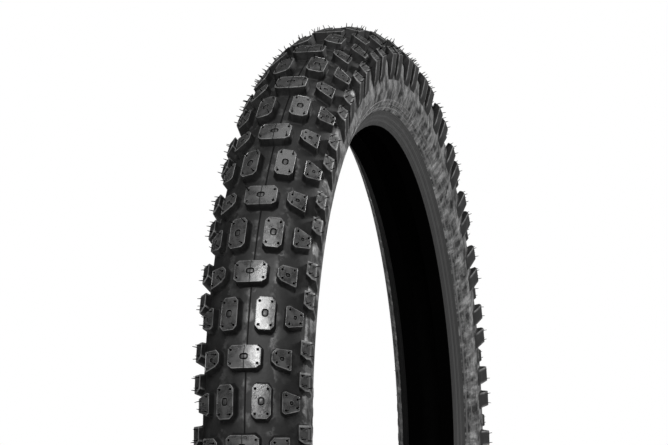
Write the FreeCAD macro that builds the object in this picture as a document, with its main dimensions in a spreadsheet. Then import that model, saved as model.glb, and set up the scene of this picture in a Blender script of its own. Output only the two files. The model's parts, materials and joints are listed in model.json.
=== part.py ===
"""Front tire of a trail and trials motorcycle, for a 21 inch rim, as separate pieces.

The wheel axle is the Y axis, the wheel centre is the origin and +Z is up. Left is +Y.
Every ring is an outline in the (radius, across) plane, turned about the axle. Every tread
block is drawn once at the top of the tire and copied round the wheel, once per pitch.
"""
import FreeCAD, Part
import math
import os
import re
import Sketcher

DOC = FreeCAD.newDocument("tire")
AXLE = FreeCAD.Vector(0, 1, 0)
CENTRE = FreeCAD.Vector(0, 0, 0)
SIDES = {"left": 1, "right": -1}

SIZES = {
    # whole tire
    "pitches": 34,             # block rows of each kind round the wheel
    "seat_radius": 266.7,      # 21 inch rim seat
    "outer_radius": 350.0,
    # crown: two arcs about points on the centre plane
    "top_arc": 48.0,           # radius of the arc over the block tops
    "block_height": 7.5,
    "floor_arc": 43.7,         # radius of the arc along the groove floor
    "shoulder_angle": 56.9,    # where the groove floor turns into the sidewall
    "shoulder_arc": 9.8,
    # sidewall
    "wall_low": 303.0,         # radius where the straight wall ends
    "wall_arc": 35.8,
    "wall_turn": 41.0,         # angle through which the lower wall turns in
    # thicknesses from the outside in
    "rubber": 2.6,
    "ply": 0.9,
    "liner": 0.8,
    # bead: a leaning core with a pointed filler on it, and the plies turned up round both
    "core_radius": 269.9,
    "core_inner": 13.13,
    "core_outer": 18.73,
    "core_depth": 5.6,
    "core_lean": 35.2,         # slope of the core's two sides
    "waist_lean": 40.5,        # direction in which the inner layers pass the top of the core
    "filler_top": 290.0,
    "filler_across": 32.95,
    "filler_lean": 34.6,       # direction in which the inner layers pass the filler's tip
    "inner_turnup": 9.0,       # length of each ply's turned up edge
    "outer_turnup": 14.0,
    "strip_length": 7.0,       # how far the rim strip reaches up the plies
    "heel_across": 20.39,
    "heel_short": 1.037,
    "heel_round": 2.0,
    "toe_across": 10.1,
    "toe_inset": 8.9,
    "toe_rise": 0.9,
    "wires_across": 4,
    "wires_deep": 4,
    "wire_radius": 0.48,
    "wire_step": 1.15,
    "wire_cover": 1.07,        # from the core's edge to the first wire's middle
    # blocks: all lengths are along the tread, all widths are across it
    "draft": 10.0,             # slope of every wall away from its row's pull
    "cut_depth": 19.0,         # how far a stamp reaches down from the block's top
    "cut_height": 7.0,         # and how far up past it
    "cut_over": 1.0,
    "crown_edge_angle": 65.0,  # how far round the crown the blocks are trimmed
    "centre_half_length": 8.4,
    "centre_half_width": 12.3,
    "centre_corner_length": 3.0,
    "centre_corner_width": 4.0,
    "centre_angle": 0.0,       # a row's angle is where it sits, its pull is how its walls stand
    "centre_pull": 0.0,
    "inner_angle": 16.4,
    "inner_pull": 10.0,
    "inner_half_length": 12.35,
    "inner_half_width": 6.9,
    "inner_corner_length": 3.9,
    "inner_corner_width": 3.4,
    "middle_angle": 33.0,
    "middle_pull": 14.0,
    "middle_half_width": 7.4,
    "middle_lead": 6.3,
    "middle_trail_inside": 5.9,
    "middle_trail_outside": 8.9,
    "middle_corner": 3.1,
    "outer_angle": 43.0,
    "outer_pull": 18.0,
    "outer_half_width": 7.1,
    "outer_lead_inside": 7.6,
    "outer_trail_inside": 8.6,
    "outer_lead_outside": 4.4,
    "outer_trail_outside": 5.6,
    "outer_corner": 2.4,
    "outer_lead_nick": 1.0,
    "outer_trail_nick": 1.5,
    # shoulder blocks, drawn from the side of the wheel
    "shoulder_front_phase": -0.138,
    "shoulder_rear_phase": 0.245,
    "shoulder_lead": 6.6,
    "shoulder_trail": 6.6,
    "shoulder_trail_top": 3.8,
    "shoulder_corner_radius": 328.5,
    "shoulder_foot_half": 7.6,
    "shoulder_base_angle": 52.5,
    "shoulder_top_radius": 332.6,
    "shoulder_top_across": 37.1,
    "shoulder_edge_radius": 325.8,
    "shoulder_edge_across": 43.0,
    "rib_low_radius": 310.5,
    "rib_low_across": 40.6,
    "rib_foot_radius": 304.0,
    # vent hairs
    "hair_radius": 0.35,
    "hair_length": 5.0,
    "hair_gap": 3,             # pitches left bare each side of the ground
    "centre_hair_angle": 9.0,
    "shoulder_hair_radius": 327.0,
    "shoulder_hair_across": 41.8,
    "shoulder_hair_lean": 60.0,
}


def make_sheet():
    """The driving dimensions, one named cell each."""
    sheet = DOC.addObject("Spreadsheet::Sheet", "Sizes")
    for row, (alias, number) in enumerate(SIZES.items(), start=1):
        sheet.set(f"A{row}", alias)
        sheet.set(f"B{row}", str(number))
        sheet.setAlias(f"B{row}", alias)
    DOC.recompute()
    return sheet


SHEET = make_sheet()


def size(alias):
    """One driving dimension, read back from its cell."""
    return float(SHEET.get(alias))


def bound(text):
    """An expression for FreeCAD: every size alias in the text gets the sheet's name."""
    return re.sub("[a-z_]+", lambda word: f"Sizes.{word[0]}" if word[0] in SIZES else word[0], text)


def origin_plane(body, role):
    """One of the body's own origin planes."""
    return next(f for f in body.Origin.OriginFeatures if f.Role == role)


def add_arc(sketch, start, stop, radius, bend):
    """An arc between two points, and whether it runs anticlockwise from start to stop."""
    chord = stop - start
    left = FreeCAD.Vector(-chord.y, chord.x, 0).normalize()
    middle = start + chord * 0.5 - left * bend * math.sqrt(radius ** 2 - chord.Length ** 2 / 4)
    circle = Part.Circle(middle, FreeCAD.Vector(0, 0, 1), radius)
    forward = bend == -1
    first, last = (start, stop) if forward else (stop, start)
    begin = math.atan2(first.y - middle.y, first.x - middle.x)
    end = math.atan2(last.y - middle.y, last.x - middle.x)
    return sketch.addGeometry(Part.ArcOfCircle(circle, begin, end)), forward


def draw(body, role, corners):
    """A closed sketch on one of the body's planes.

    A corner is (x, y) or (x, y, radius, bend): with a radius, the edge from this corner to
    the next is an arc, bent to the left of its chord if bend is 1 and to the right if -1.
    All lengths are expressions in the sheet's names.
    """
    sketch = body.newObject("Sketcher::SketchObject", f"{body.Name}_outline")
    sketch.AttachmentSupport = [(origin_plane(body, role), "")]
    sketch.MapMode = "FlatFace"
    places = []
    for corner in corners:
        x = float(sketch.evalExpression(bound(corner[0])))
        y = float(sketch.evalExpression(bound(corner[1])))
        places.append(FreeCAD.Vector(x, y, 0))
    ends = []
    for index, corner in enumerate(corners):
        start = places[index]
        stop = places[(index + 1) % len(places)]
        if len(corner) == 2:
            edge = sketch.addGeometry(Part.LineSegment(start, stop))
            ends.append((edge, 1, 2))
            continue
        radius = float(sketch.evalExpression(bound(corner[2])))
        edge, forward = add_arc(sketch, start, stop, radius, corner[3])
        ends.append((edge, 1, 2) if forward else (edge, 2, 1))
        rule = sketch.addConstraint(Sketcher.Constraint("Radius", edge, radius))
        sketch.setExpression(f"Constraints[{rule}]", bound(corner[2]))
    for index, corner in enumerate(corners):
        edge, first, last = ends[index]
        after, after_first, after_last = ends[(index + 1) % len(ends)]
        sketch.addConstraint(Sketcher.Constraint("Coincident", edge, last, after, after_first))
        across = sketch.addConstraint(Sketcher.Constraint("DistanceX", edge, first, places[index].x))
        sketch.setExpression(f"Constraints[{across}]", bound(corner[0]))
        along = sketch.addConstraint(Sketcher.Constraint("DistanceY", edge, first, places[index].y))
        sketch.setExpression(f"Constraints[{along}]", bound(corner[1]))
    return sketch


def mirrored(corners, side):
    """The same outline on the other side of the centre plane."""
    if side == 1:
        return corners
    flipped = []
    for corner in corners:
        rest = [corner[2], -corner[3]] if len(corner) == 4 else []
        flipped.append((corner[0], f"0 - ( {corner[1]} )", *rest))
    return flipped


def ring(name, corners, side=1):
    """A ring: an outline of (radius, across) turned a full circle about the axle."""
    body = DOC.addObject("PartDesign::Body", name)
    sketch = draw(body, "XY_Plane", mirrored(corners, side))
    turn = body.newObject("PartDesign::Revolution", f"{name}_turn")
    turn.Profile = sketch
    turn.ReferenceAxis = (sketch, ["V_Axis"])
    turn.Angle = 360
    body.Label = name
    return body


# ---- points of the section, as expressions, for the half on the left ----

FLOOR = "( outer_radius - block_height - floor_arc )"
TOP = "( outer_radius - top_arc )"
WALL = "( ( floor_arc - shoulder_arc ) * sin( shoulder_angle * 1 deg ) + shoulder_arc )"


def on_floor(depth, angle="shoulder_angle"):
    """Point at an angle round the crown, at a depth under the groove floor."""
    return (f"{FLOOR} + ( floor_arc - {depth} ) * cos( {angle} * 1 deg )",
            f"( floor_arc - {depth} ) * sin( {angle} * 1 deg )")


def wall_top(depth):
    """Where the shoulder's arc meets the straight wall."""
    return (f"{FLOOR} + ( floor_arc - shoulder_arc ) * cos( shoulder_angle * 1 deg )",
            f"{WALL} - {depth}")


def wall_bottom(depth):
    """Where the straight wall meets the lower wall's arc."""
    return ("wall_low", f"{WALL} - {depth}")


def rim_line():
    """Outer end of the lower wall's arc, where the rim strip starts."""
    return ("wall_low - wall_arc * sin( wall_turn * 1 deg )",
            f"{WALL} - wall_arc + wall_arc * cos( wall_turn * 1 deg )")


def filler_tip(gap):
    """Tip of the filler, or the layer that passes it at a gap on the inside."""
    return (f"filler_top + {gap} * sin( filler_lean * 1 deg )",
            f"filler_across - {gap} * cos( filler_lean * 1 deg )")


def waist(gap):
    """Inner top corner of the core, or the layer that passes it at a gap."""
    return (f"core_radius + core_depth + {gap} * sin( waist_lean * 1 deg )",
            f"core_inner + core_depth * tan( core_lean * 1 deg ) - {gap} * cos( waist_lean * 1 deg )")


def inner_side(gap):
    """On the core's inner side, square off its lower corner."""
    return (f"core_radius + {gap} * sin( core_lean * 1 deg )",
            f"core_inner - {gap} * cos( core_lean * 1 deg )")


def back_side(gap, along="0"):
    """On the core's outer side, at a distance up from its lower corner."""
    return (f"core_radius - {gap} * sin( core_lean * 1 deg ) + {along} * cos( core_lean * 1 deg )",
            f"core_outer + {gap} * cos( core_lean * 1 deg ) + {along} * sin( core_lean * 1 deg )")


def under(gap, across):
    """Under the core."""
    return (f"core_radius - {gap}", across)


# ---- paths: a corner with a radius and a bend starts an arc ----

def reverse(path):
    """The same path walked the other way."""
    turned = []
    for index in range(len(path) - 1, -1, -1):
        edge = path[index - 1][2:] if index > 0 else ()
        turned.append((*path[index][:2], *((edge[0], -edge[1]) if edge else ())))
    return turned


def wall_path(depth):
    """From the shoulder down the wall, ending where the lower arc starts."""
    return [(*on_floor(depth), f"shoulder_arc - {depth}", -1),
            wall_top(depth),
            (*wall_bottom(depth), f"wall_arc - {depth}", -1)]


def ply_path(depth, gap, turnup):
    """From the shoulder down the wall, under the core and up behind it."""
    lower = [filler_tip(gap), waist(gap)]
    if gap == "0":
        lower += [inner_side(gap), back_side(gap)]
    else:
        lower += [(*inner_side(gap), gap, 1), under(gap, "core_inner"),
                  (*under(gap, "core_outer"), gap, 1), back_side(gap)]
    return wall_path(depth) + lower + [back_side(gap, turnup)]


def across_crown(near, far, near_depth, far_depth):
    """One outline of both halves, from two paths that start at the shoulder."""
    half = near + reverse(far)
    half[-1] = (*half[-1][:2], f"floor_arc - {far_depth}", 1)
    other = mirrored(far, -1) + reverse(mirrored(near, -1))
    other[-1] = (*other[-1][:2], f"floor_arc - {near_depth}", -1)
    return half + other


# ---- rings ----

PLY_OUTSIDE = "rubber"
PLY_MIDDLE = "( rubber + ply )"
PLY_INSIDE = "( rubber + 2 * ply )"
LINER_INSIDE = "( rubber + 2 * ply + liner )"


def make_tread_base():
    """The band of rubber under the blocks, which is the floor of the grooves."""
    low = on_floor("rubber")
    ring("tread_base", [(*on_floor("0"), "floor_arc", 1), mirrored([on_floor("0")], -1)[0],
                        (*mirrored([low], -1)[0], "floor_arc - rubber", -1), low])


def make_plies():
    """Two cord plies from bead to bead, each turned up round both cores."""
    ring("casing_ply_outer", across_crown(
        ply_path(PLY_OUTSIDE, "0", "outer_turnup"),
        ply_path(PLY_MIDDLE, "ply", "outer_turnup"), PLY_OUTSIDE, PLY_MIDDLE))
    ring("casing_ply_inner", across_crown(
        ply_path(PLY_MIDDLE, "ply", "inner_turnup"),
        ply_path(PLY_INSIDE, "( 2 * ply )", "inner_turnup"), PLY_MIDDLE, PLY_INSIDE))


def make_liner():
    """Thin soft rubber over the whole inside."""
    def path(depth, gap):
        return wall_path(depth) + [filler_tip(gap), waist(gap), inner_side(gap)]
    ring("inner_liner", across_crown(
        path(PLY_INSIDE, "( 2 * ply )"), path(LINER_INSIDE, "( 2 * ply + liner )"),
        PLY_INSIDE, LINER_INSIDE))


def make_sidewall(name, side):
    """Sidewall rubber, from the tread's edge down to the rim strip."""
    outside = wall_path("0") + [rim_line()]
    inside = [back_side("( 2 * ply )", "strip_length"), back_side("( 2 * ply )", "inner_turnup"),
              back_side("ply", "inner_turnup"), back_side("ply", "outer_turnup"),
              back_side("0", "outer_turnup"), (*filler_tip("0"), "wall_arc - rubber", 1)]
    outline = outside + inside + reverse(wall_path("rubber")[:2] + [wall_bottom("rubber")])
    ring(f"sidewall_{name}", outline, side)


def make_rim_strip(name, side):
    """Hard rubber round the bead, with the cylinder that sits on the rim."""
    slope = "(core_lean * 1 deg)"
    outline = [rim_line(),
               (f"seat_radius + heel_short * cos{slope}", f"heel_across + heel_short * sin{slope}",
                "heel_round", -1),
               ("seat_radius", "heel_across - heel_short"),
               ("seat_radius", "toe_across"),
               ("seat_radius + toe_rise", "toe_inset"),
               inner_side("( 2 * ply + liner )"),
               (*inner_side("( 2 * ply )"), "2 * ply", 1),
               under("( 2 * ply )", "core_inner"),
               (*under("( 2 * ply )", "core_outer"), "2 * ply", 1),
               back_side("( 2 * ply )"),
               back_side("( 2 * ply )", "strip_length")]
    ring(f"rim_strip_{name}", outline, side)


def make_filler(name, side):
    """Pointed hard rubber filler on top of the core."""
    outline = [waist("0"), filler_tip("0"), back_side("0", "core_depth / cos( core_lean * 1 deg )")]
    ring(f"bead_filler_{name}", outline, side)


def make_core(name, side):
    """The rings of bead wire, and the rubber that they are set in."""
    wires = []
    lean = math.tan(math.radians(size("core_lean")))
    for row in range(int(size("wires_deep"))):
        for column in range(int(size("wires_across"))):
            rise = size("wire_cover") + row * size("wire_step")
            across = size("core_inner") + rise * lean + size("wire_cover") + column * size("wire_step")
            wires.append(Part.makeTorus(size("core_radius") + rise, size("wire_radius"),
                                        FreeCAD.Vector(0, side * across, 0), AXLE))
    bundle = DOC.addObject("Part::Feature", f"bead_wires_{name}")
    bundle.Shape = Part.makeCompound(wires)
    block = ring(f"core_block_{name}", [
        under("0", "core_inner"), under("0", "core_outer"),
        back_side("0", "core_depth / cos( core_lean * 1 deg )"), waist("0")], side)
    rubber = DOC.addObject("Part::Cut", f"bead_insulation_{name}")
    rubber.Base = block
    rubber.Tool = bundle


# ---- tread blocks ----

def block_outline(half_length, half_width, corner_length, corner_width):
    """Eight corners of a block with its four corners cut off."""
    long, short = f"( {half_length} )", f"( {half_length} - {corner_length} )"
    wide, narrow = f"( {half_width} )", f"( {half_width} - {corner_width} )"
    quarter = [(long, narrow), (short, wide)]
    half = quarter + [(f"0 - {x}", y) for x, y in reversed(quarter)]
    return half + [(f"0 - ( {x} )", f"0 - ( {y} )") for x, y in half]


def middle_outline():
    """Square on its leading edge, slanting away on its trailing edge."""
    return [("0 - middle_trail_outside", "middle_half_width"),
            ("middle_lead", "middle_half_width"),
            ("middle_lead", "middle_corner - middle_half_width"),
            ("middle_lead - middle_corner", "0 - middle_half_width"),
            ("middle_corner - middle_trail_inside", "0 - middle_half_width"),
            ("0 - middle_trail_inside", "middle_corner - middle_half_width")]


def outer_outline():
    """Six sided, narrower towards the sidewall."""
    return [("0 - outer_trail_outside", "outer_half_width"),
            ("outer_lead_outside", "outer_half_width"),
            ("outer_lead_inside", "outer_corner - outer_half_width"),
            ("outer_lead_inside - outer_lead_nick", "0 - outer_half_width"),
            ("outer_trail_nick - outer_trail_inside", "0 - outer_half_width"),
            ("0 - outer_trail_inside", "outer_corner - outer_half_width")]


def shoulder_outline():
    """Shoulder block and the rib under it, seen along the axle."""
    return [("shoulder_lead", "outer_radius"),
            ("0 - shoulder_trail_top", "outer_radius"),
            ("0 - shoulder_trail_top", "shoulder_top_radius"),
            ("0 - shoulder_trail", "shoulder_corner_radius"),
            ("0 - shoulder_foot_half", "rib_foot_radius - cut_over"),
            ("shoulder_foot_half", "rib_foot_radius - cut_over")]


def leaning_stamp(name, outline, kind, side):
    """A block with drafted walls along its row's pull, too tall both ways.

    The sketch passes through the middle of the block's top. It is square to the pull, so
    its widths are shorter than the same widths measured along the tread.
    """
    body = DOC.addObject("PartDesign::Body", f"{name}_stamp")
    narrowing = f"cos( ( {kind}_angle - {kind}_pull ) * 1 deg )"
    corners = [(x, f"{side} * ( {y} ) * {narrowing}") for x, y in outline]
    sketch = draw(body, "XY_Plane", corners)
    pad = body.newObject("PartDesign::Pad", f"{name}_pad")
    pad.Profile = sketch
    pad.Reversed = True
    pad.SideType = "Two sides"
    pad.setExpression("Length", "Sizes.cut_depth")
    pad.setExpression("TaperAngle", "Sizes.draft")
    pad.setExpression("Length2", "Sizes.cut_height")
    pad.setExpression("TaperAngle2", "0 - Sizes.draft")
    angle = math.radians(size(f"{kind}_angle"))
    height = size("outer_radius") - size("top_arc") * (1 - math.cos(angle))
    turn = FreeCAD.Rotation(FreeCAD.Vector(1, 0, 0), -side * size(f"{kind}_pull"))
    body.Placement = FreeCAD.Placement(
        FreeCAD.Vector(0, side * size("top_arc") * math.sin(angle), height), turn)
    return body


def sideways_stamp(name, outline):
    """A block cut straight through along the axle."""
    body = DOC.addObject("PartDesign::Body", f"{name}_stamp")
    sketch = draw(body, "XZ_Plane", outline)
    pad = body.newObject("PartDesign::Pad", f"{name}_pad")
    pad.Profile = sketch
    pad.Midplane = True
    pad.setExpression("Length", "3 * Sizes.top_arc")
    return body


def crown_layer():
    """The space between the groove floor and the block tops."""
    top = (f"{TOP} + top_arc * cos( crown_edge_angle * 1 deg )",
           "top_arc * sin( crown_edge_angle * 1 deg )")
    low = mirrored([on_floor("0")], -1)[0]
    return ring("crown_layer", [(*top, "top_arc", 1), mirrored([top], -1)[0],
                                (*low, "floor_arc", -1), on_floor("0")])


def shoulder_layer(name, side):
    """The space of one side's shoulder blocks and ribs."""
    outline = [("shoulder_top_radius", "shoulder_top_across"),
               ("shoulder_edge_radius", "shoulder_edge_across"),
               ("rib_low_radius", "rib_low_across"),
               ("rib_foot_radius", WALL),
               (*wall_top("0"), "shoulder_arc", 1),
               (*on_floor("0"), "floor_arc", 1),
               on_floor("0", "shoulder_base_angle")]
    return ring(f"shoulder_layer_{name}", outline, side)


def row_of_blocks(name, stamp, layer, phase):
    """Trim a stamped block to its layer and copy it round the wheel, one per pitch."""
    block = DOC.addObject("Part::Common", f"{name}_block")
    block.Base = stamp
    block.Tool = layer
    DOC.recompute()
    count = int(size("pitches"))
    copies = []
    for index in range(count):
        copy = block.Shape.copy()
        copy.rotate(CENTRE, AXLE, 90 - 360 / count * (index + phase))
        copies.extend(copy.Solids)
    row = DOC.addObject("Part::Feature", name)
    row.Shape = Part.makeCompound(copies)


def make_blocks():
    """Eleven rows of blocks: the first on the centre, then five to each side."""
    crown = crown_layer()
    octagons = {kind: block_outline(f"{kind}_half_length", f"{kind}_half_width",
                                    f"{kind}_corner_length", f"{kind}_corner_width")
                for kind in ("centre", "inner")}
    stamp = leaning_stamp("centre_blocks", octagons["centre"], "centre", 1)
    row_of_blocks("centre_blocks", stamp, crown, 0)
    rows = {"inner": (octagons["inner"], 0.5), "middle": (middle_outline(), 0),
            "outer": (outer_outline(), 0.5)}
    for name, side in SIDES.items():
        for kind, (outline, phase) in rows.items():
            label = f"{kind}_blocks_{name}"
            row_of_blocks(label, leaning_stamp(label, outline, kind, side), crown, phase)
        layer = shoulder_layer(name, side)
        for row in ("front", "rear"):
            label = f"shoulder_blocks_{row}_{name}"
            row_of_blocks(label, sideways_stamp(label, shoulder_outline()), layer,
                          size(f"shoulder_{row}_phase"))


def hair_rows():
    """For every row of hairs: its radius, how far across it is, its lean and its phase."""
    rows = []
    for name, phase in (("centre_hair_angle", 0), ("inner_angle", 0.5), ("outer_angle", 0.5)):
        angle = math.radians(size(name))
        radius = size("outer_radius") - size("top_arc") * (1 - math.cos(angle))
        rows.append((radius, size("top_arc") * math.sin(angle), angle, phase))
    for row in ("front", "rear"):
        rows.append((size("shoulder_hair_radius"), size("shoulder_hair_across"),
                     math.radians(size("shoulder_hair_lean")), size(f"shoulder_{row}_phase")))
    return rows


def make_hairs():
    """Moulding hairs left by the vent holes, one to a block in five rows of each half."""
    count = int(size("pitches"))
    ground = 0.75 * count
    hairs = []
    for radius, across, angle, phase in hair_rows():
        for side in SIDES.values():
            base = FreeCAD.Vector(0, side * across, radius)
            out = FreeCAD.Vector(0, side * math.sin(angle), math.cos(angle))
            hair = Part.makeCylinder(size("hair_radius"), size("hair_length"), base, out)
            for index in range(count):
                if abs(index + phase - ground) < size("hair_gap"):
                    continue
                copy = hair.copy()
                copy.rotate(CENTRE, AXLE, 90 - 360 / count * (index + phase))
                hairs.append(copy)
    node = DOC.addObject("Part::Feature", "vent_hairs")
    node.Shape = Part.makeCompound(hairs)


def make_all():
    """Every piece of the tire."""
    make_tread_base()
    make_plies()
    make_liner()
    for name, side in SIDES.items():
        make_sidewall(name, side)
        make_rim_strip(name, side)
        make_filler(name, side)
        make_core(name, side)
    make_blocks()
    make_hairs()
    DOC.recompute()


HELPERS = ("_stamp", "_block", "_layer", "layer_left", "layer_right")


def is_piece(item):
    """Bodies, cuts and rows are pieces, but not the stamps and layers that shaped them."""
    kinds = ("PartDesign::Body", "Part::Cut", "Part::Feature")
    helper = item.Name.endswith(HELPERS) or item.Name.startswith("core_block")
    return item.TypeId in kinds and not helper


def write_all():
    """Check every object, then write one STEP file per piece."""
    for item in DOC.Objects:
        if "Invalid" in item.State or "Error" in item.State:
            raise RuntimeError(f"{item.Name} failed: {item.State}")
    pieces = [item for item in DOC.Objects if is_piece(item)]
    for piece in pieces:
        if piece.Shape.isNull() or not piece.Shape.isValid():
            raise RuntimeError(f"{piece.Name} has no valid shape")
    os.makedirs("parts", exist_ok=True)
    for piece in pieces:
        piece.Label = piece.Name
        piece.Shape.exportStep(f"parts/{piece.Label}.step")
        print(f"{piece.Label}: {len(piece.Shape.Solids)} solids, {piece.Shape.Volume / 1000:.1f} cm3")


make_all()
write_all()
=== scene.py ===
# %% [markdown]
# # A knobbly motorcycle tire in Blender
#
# The CAD model already holds every solid of the tire, in metres, with the axle along Y and
# the wheel centre at the origin. Here the pieces that can be seen get their moulded
# detail: rounded block edges, pin holes, the mould line, vent hairs and rubber that
# looks like rubber. Each outer piece is worked out again with numpy as a surface of two
# parameters, which is the natural way to describe anything that goes round a wheel.

# %% Load the frame
import json
import math
import bpy
import numpy as np
from mathutils import Matrix, Vector
from mathutils.geometry import delaunay_2d_cdt


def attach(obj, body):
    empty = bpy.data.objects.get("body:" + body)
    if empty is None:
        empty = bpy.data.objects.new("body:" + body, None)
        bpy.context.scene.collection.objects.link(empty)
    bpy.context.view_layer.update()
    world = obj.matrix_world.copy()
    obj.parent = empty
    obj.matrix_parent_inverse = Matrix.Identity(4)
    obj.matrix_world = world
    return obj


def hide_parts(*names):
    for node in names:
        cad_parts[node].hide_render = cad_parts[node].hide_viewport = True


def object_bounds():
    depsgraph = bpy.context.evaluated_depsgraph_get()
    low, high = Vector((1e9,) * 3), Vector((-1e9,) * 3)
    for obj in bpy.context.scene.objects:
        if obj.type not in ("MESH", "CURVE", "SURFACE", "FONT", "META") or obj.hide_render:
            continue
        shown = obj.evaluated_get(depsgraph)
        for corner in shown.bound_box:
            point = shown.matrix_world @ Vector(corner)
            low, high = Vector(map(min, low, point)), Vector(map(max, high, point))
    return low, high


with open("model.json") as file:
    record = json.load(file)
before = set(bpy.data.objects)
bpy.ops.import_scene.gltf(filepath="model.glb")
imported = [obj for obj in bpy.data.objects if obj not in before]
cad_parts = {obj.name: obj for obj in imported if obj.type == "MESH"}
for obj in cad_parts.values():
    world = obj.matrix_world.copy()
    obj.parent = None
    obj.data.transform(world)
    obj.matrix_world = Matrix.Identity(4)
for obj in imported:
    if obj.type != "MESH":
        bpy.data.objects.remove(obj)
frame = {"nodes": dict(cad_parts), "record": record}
cad_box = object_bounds()
scene = bpy.context.scene
print("CAD nodes:", len(frame["nodes"]))

# %% [markdown]
# ## The camera
#
# A tire is described best in wheel coordinates, so the camera is placed in them too: it
# stands well in front of the wheel, a little to the right and just under the axle's height,
# and looks slightly up at the top half. The long lens keeps the far side nearly as big as
# the near one. The camera is turned by three angles: yaw from the +X direction, pitch
# above the horizon, and a small roll.

# %% Camera
CAMERA_PLACE = (-2.2409, -0.5552, -0.0245)
CAMERA_YAW = 14.430
CAMERA_PITCH = 5.298
CAMERA_ROLL = -0.522
LENS_MM = 150.35
SENSOR_MM = 36.0


def add_camera():
    """Camera matrix from its right, up and backward directions."""
    yaw = math.radians(CAMERA_YAW)
    pitch = math.radians(CAMERA_PITCH)
    roll = math.radians(CAMERA_ROLL)
    forward = Vector((math.cos(pitch) * math.cos(yaw), math.cos(pitch) * math.sin(yaw),
                      math.sin(pitch)))
    level = forward.cross(Vector((0, 0, 1))).normalized()
    upward = level.cross(forward)
    right = math.cos(roll) * level + math.sin(roll) * upward
    up = -math.sin(roll) * level + math.cos(roll) * upward
    camera_data = bpy.data.cameras.new("camera")
    camera_data.lens = LENS_MM
    camera_data.sensor_width = SENSOR_MM
    camera_data.clip_end = 50
    camera_data.dof.use_dof = False
    camera = bpy.data.objects.new("camera", camera_data)
    scene.collection.objects.link(camera)
    axes = Matrix((right, up, -forward)).transposed().to_4x4()
    camera.matrix_world = Matrix.Translation(CAMERA_PLACE) @ axes
    scene.camera = camera
    return camera


camera = add_camera()
print("camera at", tuple(round(v, 3) for v in camera.location), "lens", LENS_MM)

# %% [markdown]
# ## The section of the tire
#
# Cut a tire through and its outline is a few arcs. The groove floor is one arc, the block
# tops lie on another, and the wall hangs under the shoulder. The numbers below are the same
# driving sizes as the CAD's, so that each new surface lies where the solid that it replaces
# lay. All other sizes of the crown follow from them.

# %% Section sizes, in metres
MM = 0.001
OUTER_RADIUS = 350.0 * MM
TOP_ARC = 48.0 * MM
FLOOR_ARC = 43.7 * MM
BLOCK_HEIGHT = 7.5 * MM
TOP_CENTRE = OUTER_RADIUS - TOP_ARC
FLOOR_CENTRE = OUTER_RADIUS - BLOCK_HEIGHT - FLOOR_ARC
SHOULDER_ANGLE = math.radians(56.9)
PITCHES = 34
PITCH_ANGLE = 2 * math.pi / PITCHES
SIDES = {"left": 1, "right": -1}
DRAFT = math.tan(math.radians(10.0))
SHOULDER_ARC = 9.8 * MM
SHOULDER_CENTRE = (FLOOR_CENTRE + (FLOOR_ARC - SHOULDER_ARC) * math.cos(SHOULDER_ANGLE),
                   (FLOOR_ARC - SHOULDER_ARC) * math.sin(SHOULDER_ANGLE))
print(f"outer radius {OUTER_RADIUS:.3f}, shoulder centre {SHOULDER_CENTRE[0]:.4f}")

# %% [markdown]
# ### Places on the crown
#
# Every block is drawn flat and then bent onto the tire, so two formulas are needed: how deep
# the groove floor lies under a place on the crown, and where in space a place on the crown
# is. The depth could be found with a ray cast on the CAD mesh, but both outlines are arcs,
# so one square root gives it exactly.

# %% Places on the crown
def floor_depth(bend):
    """Depth of the casing under the block tops, along a line that leans by bend.

    The line starts at the top arc's centre, and (p, q) is an arc's centre seen from there.
    It meets an arc of radius a at length d + sqrt(a^2 - p^2 - q^2 + d^2), where
    d = p cos(bend) + q sin(bend). Past the shoulder angle the shoulder's arc takes over.
    """
    def reach(centre, radius):
        p, q = centre[0] - TOP_CENTRE, centre[1]
        along = p * np.cos(bend) + q * np.sin(bend)
        return along + np.sqrt(np.maximum(radius ** 2 - p ** 2 - q ** 2 + along ** 2, 0))

    crown = reach((FLOOR_CENTRE, 0.0), FLOOR_ARC)
    lean = np.arctan2(crown * np.sin(bend), TOP_CENTRE - FLOOR_CENTRE + crown * np.cos(bend))
    shoulder = reach(SHOULDER_CENTRE, SHOULDER_ARC)
    return TOP_ARC - np.where(lean > SHOULDER_ANGLE, shoulder, crown)


def crown_point(angle, bend, depth):
    """Point on the crown: angle round the wheel, bend across it, depth under the tops.

    radius = top_centre + (top_arc - depth) cos(bend), and across = (top_arc - depth)
    sin(bend). The angle runs from +X towards +Z.
    """
    reach = TOP_ARC - depth
    radius = TOP_CENTRE + reach * np.cos(bend)
    return np.stack([radius * np.cos(angle), reach * np.sin(bend), radius * np.sin(angle)], -1)


print(f"groove depth: {floor_depth(0.0) / MM:.1f} mm at the centre, "
      f"{floor_depth(SHOULDER_ANGLE) / MM:.1f} mm at the shoulder")

# %% [markdown]
# ### From arrays to meshes
#
# A surface of two parameters is a grid of points, and its faces are the quads between
# neighbours. Numbers can be stored on the points as well: a material reads them later by
# name, which is how an edge with a painted pale highlight, or a glossy top with a painted
# sheen, is told from the rest of a block.

# %% Arrays to meshes
def make_mesh(name, points, faces, smooth_angle=None, marks=None):
    """A piece from points and faces; marks is a dict of one number per point each."""
    mesh = bpy.data.meshes.new(name)
    faces = [tuple(int(i) for i in face) for face in faces]
    mesh.from_pydata(np.asarray(points, dtype=float).tolist(), [], faces)
    for mark, values in (marks or {}).items():
        mesh.attributes.new(mark, "FLOAT", "POINT").data.foreach_set("value", values)
    mesh.validate()
    mesh.update()
    if smooth_angle is not None:
        mesh.shade_smooth()
        mesh.set_sharp_from_angle(angle=math.radians(smooth_angle))
    piece = bpy.data.objects.new(name, mesh)
    scene.collection.objects.link(piece)
    return piece


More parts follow.
